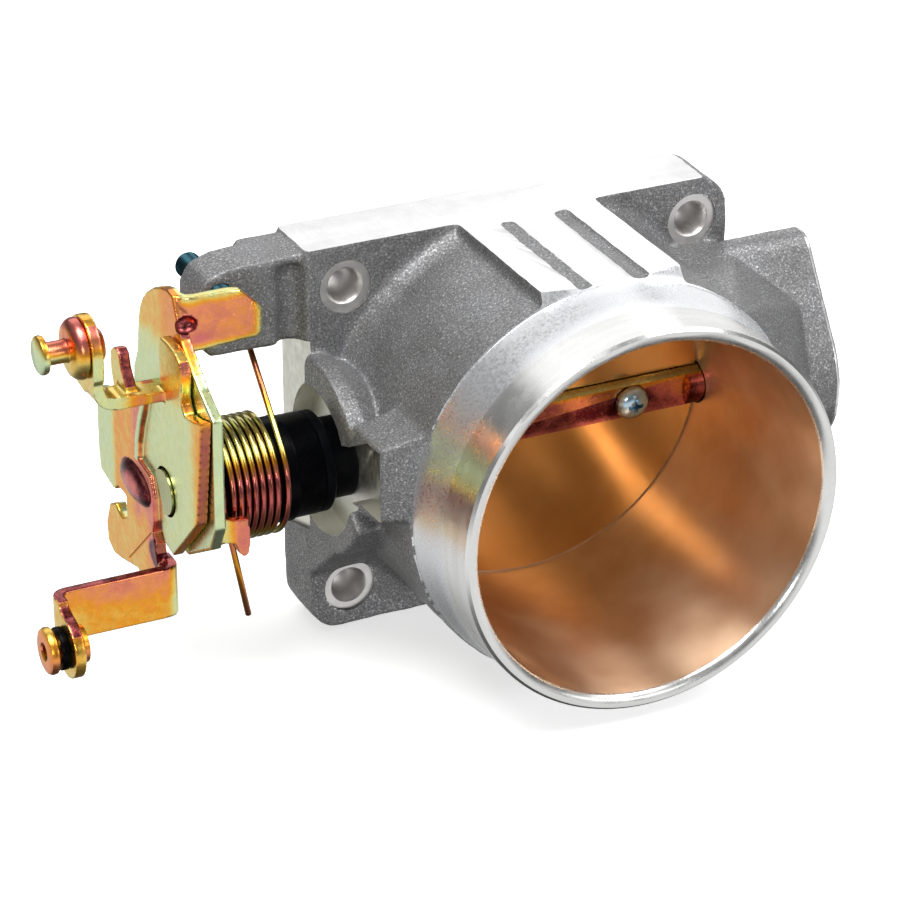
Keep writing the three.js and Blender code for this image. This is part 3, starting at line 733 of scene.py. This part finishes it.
def lever_film(x, y, z, no):
    """The throttle lever's film, region by region, with a painted highlight and a painted dark
    reflection on its swage; sheet is the web and quadrant.
    """
    front, up = np.clip(-no[:, 1], 0, 1), np.clip(no[:, 2], 0, 1)
    rivet = spot(y, z, 14, -4, 8.8, 4.4)
    sheet = (x > -86.4) | ((rivet > 0.05) & (z < 4))
    plane = (x < LEVER_X - 0.5) & sheet & (y > 3)
    film = 0.1 + 0.36 * fade(y, -12, -18.5) * sheet
    film = film + sheet * (0.3 * spot(y, z, -3, 25, 7, 3.5) + 0.2 * fade(z, 25, 31))
    band = 0.42 * fade(y, 29, 24.5) + 0.28 * fade(y, 17, 13.5)
    low = 0.42 + 0.2 * fade(y, 12, 4)
    film = np.where(plane, 0.06 + band + (low - 0.06 - band) * fade(z, -10, -15), film)
    film = np.where(plane, film - 0.25 * spot(y, z, 9.5, -11.2, 2.2, 1.8), film)
    film = film + (1.05 - film) * fade(spot(y, z, 3, -16.2, 4.2, 3), 0.1, 0.4) * sheet
    roll = np.interp(z, [2, 5.9, 10.6, 15.2, 20.4], [13.5, 13, 11.4, 9.2, 7.4])
    film = np.where(sheet & (x < LEVER_X - 0.1) & (z > 1.5) & (np.abs(y - roll) < 0.85), 0.0, film)
    # the swage: near black at its ends as a painted dark reflection, red in its middle, lighter on
    # its slope facing up and to the front as a painted highlight
    swage_painted_light = 0.98 - 0.16 * fade(rivet, 0.6, 1) - 0.35 * fade(no[:, 2] - no[:, 1], 0.75, 1.1)
    film = np.where((rivet > 0.25) & sheet & (x < LEVER_X - 1.25), swage_painted_light, film)
    edge = 0.76 - 0.5 * np.exp(-((z - 27) / 3) ** 2)
    film = film + (edge - film) * fade(front, 0.45, 0.85) * sheet * (z > -16)
    bracket = (x < -86.4) & (z > 15)
    film = np.where(bracket, 0.3 + 0.08 * fade(z, 30, 38), film)
    finger = bracket & (x > -91.6) & (z > 24.6) & (y > -1)
    film = np.where(finger & (front > 0.3), 0.93, np.where(finger & (up > 0.5), 0.78, film))
    rail = bracket & ~finger & (front > 0.5)
    film = np.where(rail, 0.16 + 0.6 * fade(z, 32, 38) + 0.5 * spot(x, z, -89, 22, 3, 3), film)
    strap = (z < -16) & (y < 3)
    face = 0.72 - 0.22 * fade(z, -18, -25) - 0.1 * fade(x, -95, -108) - 0.5 * fade(x, -85, -81.5)
    film = np.where(strap, face * fade(front, 0.3, 0.8) + 0.34 * (1 - fade(front, 0.3, 0.8)), film)
    return np.where(strap & (up > 0.7), 0.95, film)


def stop_lever_film(x, y, z, no):
    """The same for the stop lever: its web, tab, gusset and hook, with painted shade in the
    gusset's dimple.
    """
    front = np.clip(-no[:, 1], 0, 1)
    film = 0.06 + 0.34 * fade(z, 25, 33) + 0.2 * fade(y, 9, 2) * fade(z, 30, 36)
    tab = (x > -79.5) & (z > 29)
    middle = fade(x, -62.4, -65) * fade(z, 43, 40.5) * fade(z, 31.4, 33.4)
    film = np.where(tab, 0.22 + 0.46 * middle + 0.14 * spot(x, z, -76, 33.5, 4, 2), film)
    # the gusset's dimple, where it faces front, is painted dark maroon: partly its red film, partly
    # painted shade in the recess
    gusset = spot(x, z, -78.9, 37.3, 3.0, 2.4)
    film = np.where((gusset > 0.45) & (front > 0.1) & (x > -80.6), 0.95, film)
    hook = (x > -79.5) & (z < 3)
    film = np.where(hook, 0.25 + 0.5 * fade(x, -77.5, -74), film)
    return np.where((x < -78.4) & (front > 0.5) & (z < 30), 0.02, film)


def d_section(r, flat):
    """The shaft's end: a circle with one flat, which faces this lean in degrees."""
    lean = -31.8
    half = math.degrees(math.acos(flat / r))
    return arc(0, 0, r, lean + half, lean + 360 - half, 48)


def ellipsoid(cx, cy, cz, rx, ry, rz, rings=24, sides=48):
    """A ball stretched to three radii; cy is measured from the shaft."""
    arcs = [(math.sin(math.pi * i / rings), -math.cos(math.pi * i / rings))
            for i in range(rings + 1)]
    verts, faces = lathe("x", arcs, sides=sides)
    return [(cx + rx * x, SHAFT_Y + cy + ry * y, cz + rz * z) for x, y, z in verts], faces


def tube(path, radius, sides=12, tip=1.0):
    """A round bar along a list of points; tip is the share of the radius left at its ends."""
    points = [Vector(p) for p in path]
    count = len(points)
    verts, faces = [], []
    side = Vector((1, 0, 0))
    for i, p in enumerate(points):
        along = (points[min(i + 1, count - 1)] - points[max(i - 1, 0)]).normalized()
        side = (side - along * side.dot(along)).normalized()
        other = along.cross(side)
        reach = tip if i in (0, count - 1) else 1.0
        for k in range(sides):
            t = 2 * math.pi * k / sides
            verts.append(tuple(p + radius * reach * (math.cos(t) * side + math.sin(t) * other)))
    for i in range(count - 1):
        for k in range(sides):
            j = (k + 1) % sides
            faces.append((i * sides + k, i * sides + j, (i + 1) * sides + j, (i + 1) * sides + k))
    faces.append(tuple(range(sides)))
    faces.append(tuple(range((count - 1) * sides, count * sides)))
    return verts, faces


def build_throttle_lever():
    back = LEVER_X + SHEET
    outer = LEVER_X - 1.2             # the quadrant is joggled towards the outside
    web = prism("x", [
        (-20.6, 24.4), (-15.4, 22.9), (-11.7, 22.4), (-10.3, 24), (-9.9, 26.2), (-10.4, 28.4),
        (-10.6, 31), (-9.5, 33.1), (-6.9, 34.2), (-3.5, 34.7), (0.3, 34.6), (1.4, 33.4), (1.4, 22),
        (8, 20.8), (12, 14), (15, 6), (15, -6), (4, -9), (2, -12.8), (-2.7, -13.6), (-16.6, 0)],
        LEVER_X, back)
    quadrant = prism("x", [
        (7.6, 21), (20, 14.4), (30, 10.4), (36, 8.4), (36.4, -4.7), (35.6, -10.8), (28.6, -12.1),
        (27, -11.8), (25.3, -10.3), (20.6, -10.4), (20.6, -15.4), (23.2, -16.8), (25.6, -16.4),
        (27.2, -15.2), (31, -17), (33.4, -22.4), (32.8, -26.6), (29.6, -28.2), (25, -27.4),
        (15.4, -25), (8, -28.6), (-0.8, -28.6), (-0.8, -17.4), (3.2, -18), (4.2, -13.8),
        (5.6, -12), (4.5, -9), (4.5, -3.6), (6, 1), (13.8, 2.2), (13.2, 5.8), (11.6, 10.4),
        (9.4, 15)], outer, outer + SHEET)
    roll = tube([(outer + 0.9, SHAFT_Y + y, z) for y, z in (
        (7.4, 20.4), (9.2, 15.2), (11.4, 10.6), (13, 5.9), (13.5, 2))], 0.9)
    bridge = prism("y", bent_strip([
        (22.2, back - 0.2), (22.4, LEVER_X - 6), (22.4, EAR_X + SHEET / 2),
        (30, EAR_X + SHEET / 2)], 4.6, SHEET), -1.7, 5)
    ear = prism("x", [
        (-2.4, 28.6), (0.2, 26), (4, 24), (8, 24.6), (10.6, 27.6), (STUD_Y + 6.8, STUD_Z),
        *arc(STUD_Y, STUD_Z, 6.8, 0, 180, 24)], EAR_X, EAR_X + SHEET)
    finger = prism("x", [
        (-0.6, 22.6), (1.2, 25), (3.4, 28), (4.2, 30.6), (5.6, 31.4), (7.6, 30.8), (9.2, 29.4),
        (9.2, 25), (8, 21.8), (0, 21.8)], -91, -91 + SHEET)
    strap = prism("z", bent_strip([
        (LEVER_X + SHEET / 2, 6), (LEVER_X + SHEET / 2, -0.2), (EYELET_X + SHEET / 2, -0.2),
        (EYELET_X + SHEET / 2, -5)], 2.6, SHEET), -28.6, -17.2)
    eyelet = prism("x", [(-2.6, -17.3), *arc(EYELET_Y, EYELET_Z, 6.6, 90, 320, 24),
                         (-2.6, -28.6)], EYELET_X, EYELET_X + SHEET)
    parts = (web, quadrant, bridge, ear, finger, strap, eyelet)
    swage = ellipsoid(outer + 0.2, 14, -4, 2.0, 8.4, 4.1)
    obj = make("throttle_lever_stamping", roll, swage, *(at_shaft(part) for part in parts))
    soften(obj, SHEET_VOXEL, 5)
    hole = at_shaft(prism("x", d_section(SHAFT_R + 0.6, LEVER_FLAT + 0.4), -90, -70))
    stud_hole = disc("x", 2.4, -112, -90, SHAFT_Y + STUD_Y, STUD_Z)
    rivet_hole = disc("x", 3.2, -112, -104, SHAFT_Y + EYELET_Y, EYELET_Z)
    crease = tube([(outer - 0.1, SHAFT_Y + 6, -12.2), (outer - 0.1, SHAFT_Y + 20, -24.8)], 0.3)
    combine(obj, "DIFFERENCE", hole, stud_hole, rivet_hole, crease)
    film_and_painted_light_layer(obj, lever_film)
    shade(obj, 40)
    return finish_piece(obj, "throttle_rotor", "plated_steel", ["throttle_lever"], PLATED)


def build_stop_lever():
    inner = STOP_LEVER_X + SHEET - 0.1
    web = prism("x", [
        (-20.2, 24), (-13, 28), (-4, 35), (-0.4, 43.2), (2.5, 43.5), (6.1, 42.6), (10.4, 40.8),
        (14.2, 38.4), (16.9, 35.8), (18.5, 33.4), (19.6, 30.2), (20.4, 26), (21, 22.4), (23.4, 18),
        (24, 10), (14, -4), (6, -12), (-4, -13.4), (-17, -6), (-20.2, 0)], STOP_LEVER_X, inner)
    tab_strip = prism("z", bent_strip([
        (STOP_LEVER_X + SHEET / 2, 4), (STOP_LEVER_X + SHEET / 2, -1.1), (-62.3, -1.1)],
        3.4, SHEET - 0.1), 30, 44)
    hook = panel([
        (STOP_LEVER_X, 1), (-75, -1), (-72.1, -1.2), (-71.8, -6.6), (-72.4, -9.2), (-73.3, -9.6),
        (-74.4, -8.4), (-75.2, -6.2), (-77.6, -5.6), (STOP_LEVER_X, -4)], -16.4, -14.2)
    obj = make("stop_lever_stamping", at_shaft(tab_strip))
    trim = panel([
        (-90, 30.6), (-75, 31), (-66.7, 31.6), (-63.4, 31.6), (-62.4, 32.6), (-62.1, 37.2),
        (-62.7, 38.6), (-65.1, 40.9), (-67, 42.7), (-69, 43), (-90, 43)], -40, 10)
    combine(obj, "INTERSECT", trim)
    combine(obj, "UNION", at_shaft(web), at_shaft(hook))
    soften(obj, SHEET_VOXEL, 5)
    hole = at_shaft(prism("x", d_section(SHAFT_R + 0.3, LEVER_FLAT + 0.3), -90, -70))
    gusset = ellipsoid(-78.9, -2.5, 37.3, 2.5, 1.9, 2.0)
    combine(obj, "DIFFERENCE", hole, gusset)
    film_and_painted_light_layer(obj, stop_lever_film)
    shade(obj, 40)
    return finish_piece(obj, "throttle_rotor", "plated_steel", ["stop_lever"], PLATED)


def spring_path():
    start, sweep = 180, 51.5 + 8 * 360

    def coil(share):
        turns = share * sweep / 360
        spread = 0.7 * (min(turns, 1) + max(turns - 7.2, 0))
        t = math.radians(start - share * sweep)
        return Vector((SPRING_LEFT + SPRING_PITCH * turns + spread,
                       SHAFT_Y + SPRING_R * math.cos(t), SPRING_R * math.sin(t)))

    low = Vector((SPRING_LEFT + 4.8, SHAFT_Y - SPRING_R, -25.5))
    high = coil(1) + Vector((1.2, 20.6, 16.4))
    steps = 560
    path = [low.lerp(coil(0), t) for t in (0, 0.01, 0.5, 0.85, 0.93)]
    path += [coil(i / steps) for i in range(steps + 1)]
    path += [coil(1).lerp(high, t) for t in (0.07, 0.15, 0.5, 0.99, 1)]
    return path


def build_spring():
    obj = make("return_spring_wire", tube(spring_path(), WIRE_R, 14, 0.55))
    coil = GUIDE_R + 5
    # round the coil the film is painted rose where the wire faces front and back and olive on its
    # top and bottom, as painted reflections; the legs turn rose far above and below the shaft
    film_and_painted_light_layer(obj, lambda x, y, z, no: 0.26 + np.where(
        np.hypot(y, z) < coil, 0.55 * fade(np.abs(z), 9.5, 5), 0.4 * fade(np.abs(z), 8, 16)))
    shade(obj, 60)
    return finish_piece(obj, "housing_body", "spring_steel", ["return_spring"], WIRE)


def plate_screw_holes():
    return [tilted(disc("y", PLATE_HOLE_R, -9, 9, 0, x, 32), PLATE_TILT)
            for x in (-PLATE_SCREW_X, PLATE_SCREW_X)]


def build_shaft():
    gap = PLATE_T / 2 + 0.3
    obj = make("throttle_shaft_turned", tilted(disc("x", SHAFT_R, -78.2, 55, sides=96), 0))
    combine(obj, "UNION",
            tilted(prism("x", d_section(SHAFT_R, LEVER_FLAT), -84.2, -77), 0),
            tilted(disc("x", SHAFT_R - 0.8, 54, 61, sides=96), 0))
    groove = lathe("x", [(SHAFT_R - 0.9, 50.6), (7, 50.6), (7, 52), (SHAFT_R - 0.9, 52),
                         (SHAFT_R - 0.9, 50.6)], SHAFT_Y, 0)
    cuts = [tilted(block(-BORE_R - 0.6, BORE_R + 0.6, -gap, gap, -9, 9), PLATE_TILT),
            tilted(block(-35.4, 35.4, -9, -SHAFT_FLAT, -9, 9), PLATE_TILT),
            tilted(block(56, 62, -6, 6, 1.6, 6), 0), groove]
    combine(obj, "DIFFERENCE", *cuts, *plate_screw_holes())
    # inside the bore the shaft is painted near black from just under its top down to its lower
    # side, as painted shade and the dark reflection on its flat over its rose film; its bottom is
    # rose, its top strip and its ends outside the bore yellow-green
    film_and_painted_light_layer(obj, lambda x, y, z, no: 0.16 + (np.abs(x) < BORE_R)
               * (0.94 * fade(z, 4, 2.6) - 0.3 * fade(z, -3, -4.2)))
    shade(obj, 30)
    return finish_piece(obj, "throttle_rotor", "plated_steel", ["throttle_shaft"], SHAFT_LOOK)


def build_plate():
    short = BORE_R - 0.3
    long = short / math.cos(PLATE_TILT) - 0.05
    edge = 0.15                       # broken edge of the rim
    rings = [(0.0, -1), (1.0 - edge / short, -1), (1.0, -1 + 2 * edge / PLATE_T),
             (1.0, 1 - 2 * edge / PLATE_T), (1.0 - edge / short, 1), (0.0, 1)]
    profile = [(share, level * PLATE_T / 2) for share, level in rings]
    verts, faces = lathe("y", profile, sides=ROUND)
    verts = [(x * short, y, z * long) for x, y, z in verts]
    obj = make("throttle_plate_disc", tilted((verts, faces), PLATE_TILT))
    combine(obj, "DIFFERENCE", *plate_screw_holes())
    shade(obj, 30)
    paint(obj, [lambda c, n: np.abs(n[:, 1]) < 0.6])
    return finish_piece(obj, "throttle_rotor", "plate_brass", ["throttle_plate"], PLATE, MILLED)


def build_plate_screw(name, node, x):
    head = lathe("y", [
        (0, -5.6), (1.2, -5.56), (2.2, -5.35), (3.0, -4.95), (3.6, -4.3), (3.85, -3.7), (3.9, -3.2),
        (1.9, -3.2), (1.9, 3.9), (1.6, 4.2), (0, 4.2)], 0, x, 48)
    obj = make(name, tilted(head, PLATE_TILT))
    recess = (0.45, 0.9, -3.9), (0.5, 2.2, -6.2)     # an arm's half width, reach and y
    arms = [hull([(x + sx * (half, reach)[turn], y, sz * (reach, half)[turn])
                  for sx in (-1, 1) for sz in (-1, 1) for half, reach, y in recess])
            for turn in (0, 1)]
    combine(obj, "DIFFERENCE", *(tilted(arm, PLATE_TILT) for arm in arms))
    shade(obj, 35)
    return finish_piece(obj, "throttle_rotor", "bright_steel", [node], BRIGHT_STEEL)


def build_cable_stud():
    tail = EAR_X + SHEET + 0.3
    obj = make("cable_stud_turned", lathe("x", [
        (0, -108.2), (3.5, -108.15), (4.0, -107.8), (4.1, -107.2), (3.9, -106.6), (3.2, -106.3),
        (2.5, -106.2), (2.4, -105.8), (2.4, -102.2), (2.6, -102), (4.2, -101.9), (5.4, -101.5),
        (6.1, -100.8), (6.4, -100.0), (6.4, -99.3), (6.1, EAR_X - 0.15),
        (2.2, EAR_X - 0.15), (2.2, tail), (3.8, tail), (4, tail + 0.4), (3.2, tail + 1.4),
        (2.4, tail + 1.6), (0, tail + 1.6)], SHAFT_Y + STUD_Y, STUD_Z, 56))
    film_and_painted_light_layer(obj, lambda x, y, z, no: 0.72 - 0.5 * fade(no[:, 2], 0.5, -0.2)
               + 0.1 * fade(x, -104, -102) - 0.3 * fade(x, -106.2, -107.4))
    shade(obj, 40)
    return finish_piece(obj, "throttle_rotor", "plated_steel", ["cable_stud"], PLATED)


def build_rod_bushing():
    head = -114.1
    tail = EYELET_X + SHEET + 0.3
    obj = make("rod_bushing_rivet", lathe("x", [
        (1.7, head + 0.3), (2.0, head), (4.1, head), (4.7, head + 0.25), (5, head + 0.9),
        (4.9, head + 1.7), (4.5, head + 2.05), (3, head + 2.2), (3, tail), (4.0, tail),
        (4.2, tail + 0.4), (3.9, tail + 1.4), (1.7, tail + 1.6), (1.7, head + 0.3)],
        SHAFT_Y + EYELET_Y, EYELET_Z, 56))
    film_and_painted_light_layer(obj, lambda x, y, z, no: 0.66 - 0.3 * np.clip(no[:, 2], 0, 1))
    shade(obj, 40)
    return finish_piece(obj, "throttle_rotor", "plated_steel", ["rod_bushing"], PLATED)


def build_rod_spacer():
    right = EYELET_X - 0.1
    obj = make("rod_spacer_ring", lathe("x", [
        (3.1, right - 1.8), (4.3, right - 1.8), (4.5, right - 1.5), (4.5, right - 0.3),
        (4.3, right), (3.1, right), (3.1, right - 1.8)], SHAFT_Y + EYELET_Y, EYELET_Z, 48))
    shade(obj, 40)
    return finish_piece(obj, "throttle_rotor", "black_plastic", ["rod_spacer"], BLACK_PLASTIC)


def build_spring_guide():
    inner = SHAFT_R + 0.3
    left, right, r = GUIDE_LEFT, SEAL_LEFT - 0.3, GUIDE_R
    obj = make("spring_guide_bush", lathe("x", [
        (inner, left), (r - 0.9, left), (r - 0.25, left + 0.25), (r, left + 0.9),
        (r, right - 6.4), (r + 0.1, right - 6.0), (r, right - 5.4), (r - 0.25, right - 4.9),
        (r - 0.3, right), (inner, right), (inner, left)], SHAFT_Y, 0, 96))
    shade(obj, 30)
    return finish_piece(obj, "housing_body", "black_plastic", ["spring_guide"], BLACK_PLASTIC)


def build_dust_seal():
    inner = SHAFT_R + 0.3
    left, right = SEAL_LEFT, POCKET_X - 0.1
    obj = make("dust_seal_cup", lathe("x", [
        (inner, left), (GUIDE_R - 0.7, left), (GUIDE_R - 0.4, left + 0.3),
        (GUIDE_R - 0.4, left + 2), (GUIDE_R - 0.7, left + 2.3), (8.6, left + 2.4), (8.6, right),
        (7.6, right), (7.6, right - 1.9), (inner, right - 1.9), (inner, left)], SHAFT_Y, 0, 96))
    shade(obj, 30)
    return finish_piece(obj, "housing_body", "black_rubber", ["dust_seal"], BLACK_RUBBER)


def build_stop_screw():
    tip = SHAFT_Y + 0.4
    r = STOP_SCREW_R
    profile = [(0, tip), (1.6, tip), (2.2, tip + 1)]
    y = tip + 1.4
    while y < 3.4:
        profile += [(r, y), (r - 0.32, y + 0.35)]
        y += 0.7
    profile += [(r - 0.2, 3.8), (2.2, 4.35), (0, 4.35)]
    obj = make("stop_screw_threaded", lathe("y", profile, STOP_SCREW_Z, STOP_SCREW_X, 40))
    combine(obj, "DIFFERENCE", disc("y", 1.5, 1.6, 6, STOP_SCREW_Z, STOP_SCREW_X, 6))
    shade(obj, 30)
    return finish_piece(obj, "housing_body", "bright_steel", ["stop_screw"], DARK_SCREW)


def dress_hidden_nodes():
    """Sealed inner pieces keep their CAD shape and get a material."""
    looks = {"left_seal": BLACK_RUBBER, "right_seal": BLACK_RUBBER, "left_bearing": BRONZE,
             "right_bearing": BRONZE, "retaining_clip": BRIGHT_STEEL,
             "thrust_washer": BRIGHT_STEEL}
    for node, look in looks.items():
        mesh = frame["nodes"][node].data
        mesh.materials.clear()
        mesh.materials.append(look)


# ------------------------------------------------------------------ stage
def build_floor():
    reach, top, thick = 3000, -45.5, 1
    floor = make("floor", block(-reach, reach, -reach, reach, top - thick, top))
    look = Look("pale_floor", (0.9, 0.9, 0.9), 0.0, 0.9)
    look.set("Emission Color", (1, 1, 1, 1))
    look.set("Emission Strength", 0.6)
    floor.data.materials.append(look.material)
    floor.visible_diffuse = floor.visible_glossy = False


def direction(azimuth, elevation):
    """Azimuth from the inlet's side (-Y) towards +X, in degrees."""
    az, el = math.radians(azimuth), math.radians(elevation)
    return Vector((math.sin(az) * math.cos(el), -math.cos(az) * math.cos(el), math.sin(el)))


def softbox(name, azimuth, elevation, distance, size, brightness):
    """An area light that shows in gloss with this brightness, aimed at the part."""
    data = bpy.data.lights.new(name, "AREA")
    data.shape = "RECTANGLE"
    data.size, data.size_y = size
    data.energy = brightness * math.pi * size[0] * size[1]
    lamp = bpy.data.objects.new(name, data)
    target = Vector((-0.015, -0.035, 0))        # the middle of the part, in metres
    lamp.location = target + distance * direction(azimuth, elevation)
    lamp.rotation_euler = (target - lamp.location).to_track_quat("-Z", "Y").to_euler()
    bpy.context.collection.objects.link(lamp)


def build_world():
    """Studio walls: pale below the horizon, dark at it and straight down, dimmer behind."""
    world = bpy.data.worlds.new("studio")
    bpy.context.scene.world = world
    world.use_nodes = True
    nodes, links = world.node_tree.nodes, world.node_tree.links
    split = nodes.new("ShaderNodeSeparateXYZ")
    links.new(nodes.new("ShaderNodeTexCoord").outputs["Generated"], split.inputs[0])

    def ramp(axis, tones):
        span = nodes.new("ShaderNodeMapRange")
        span.inputs["From Min"].default_value = -1
        links.new(split.outputs[axis], span.inputs["Value"])
        colours = nodes.new("ShaderNodeValToRGB")
        links.new(span.outputs["Result"], colours.inputs["Fac"])
        points = colours.color_ramp.elements
        while len(points) < len(tones):
            points.new(0.5)
        for point, (position, tone) in zip(points, tones):
            point.position = position
            point.color = (tone, tone, tone, 1)
        return colours.outputs["Color"]

    by_height = ramp("Z", [(0.0, 0.08), (0.14, 0.2), (0.21, 0.85), (0.35, 0.95), (0.42, 0.5),
                           (0.5, 0.16), (0.6, 0.16), (0.72, 0.3), (1.0, 0.35)])
    by_depth = ramp("Y", [(0.4, 1.0), (0.6, 0.85)])
    product = nodes.new("ShaderNodeMix")
    product.data_type, product.blend_type = "RGBA", "MULTIPLY"
    product.inputs[0].default_value = 1.0
    links.new(by_height, product.inputs[6])
    links.new(by_depth, product.inputs[7])
    links.new(product.outputs[2], nodes["Background"].inputs["Color"])


def build_lights():
    """Name, azimuth, elevation, distance, size and brightness of each softbox."""
    for lamp in (("back_wall", 172, 36, 1.2, (1.2, 0.75), 1.0),
                 ("back_right", 138, 12, 1.2, (0.6, 0.8), 0.9),
                 ("overhead", -60, 72, 1.1, (0.7, 0.7), 6.5),
                 ("front_key", -31, 15, 1.0, (0.12, 0.12), 26),
                 ("front_right", 34, 13, 1.0, (0.6, 0.3), 2.2),
                 ("high_right", 65, 50, 1.1, (0.5, 0.5), 6.0)):
        softbox(*lamp)


def build_camera():
    """The view: azimuth and elevation of the line from the object to the camera."""
    azimuth, elevation, distance = -25.46, 26.76, 0.81943
    turn = math.radians(azimuth)
    right = Vector((math.cos(turn), math.sin(turn), 0))
    back = direction(azimuth, elevation)
    up = back.cross(right)
    aim_point = -0.00869 * right - 0.01616 * up
    data = bpy.data.cameras.new("camera")
    data.sensor_width = 36
    data.lens = 151.38
    camera = bpy.data.objects.new("camera", data)
    bpy.context.collection.objects.link(camera)
    rotation = Matrix((right, up, back)).transposed()
    camera.matrix_world = Matrix.Translation(aim_point + distance * back) @ rotation.to_4x4()
    bpy.context.scene.camera = camera
    bpy.context.scene.view_settings.view_transform = "Standard"


build_camera()
build_world()
build_lights()
build_floor()
build_housing()
build_throttle_lever()
build_stop_lever()
build_spring()
build_shaft()
build_plate()
build_plate_screw("plate_screw_left_head", "plate_screw_left", -PLATE_SCREW_X)
build_plate_screw("plate_screw_right_head", "plate_screw_right", PLATE_SCREW_X)
build_cable_stud()
build_rod_bushing()
build_rod_spacer()
build_spring_guide()
build_dust_seal()
build_stop_screw()
dress_hidden_nodes()
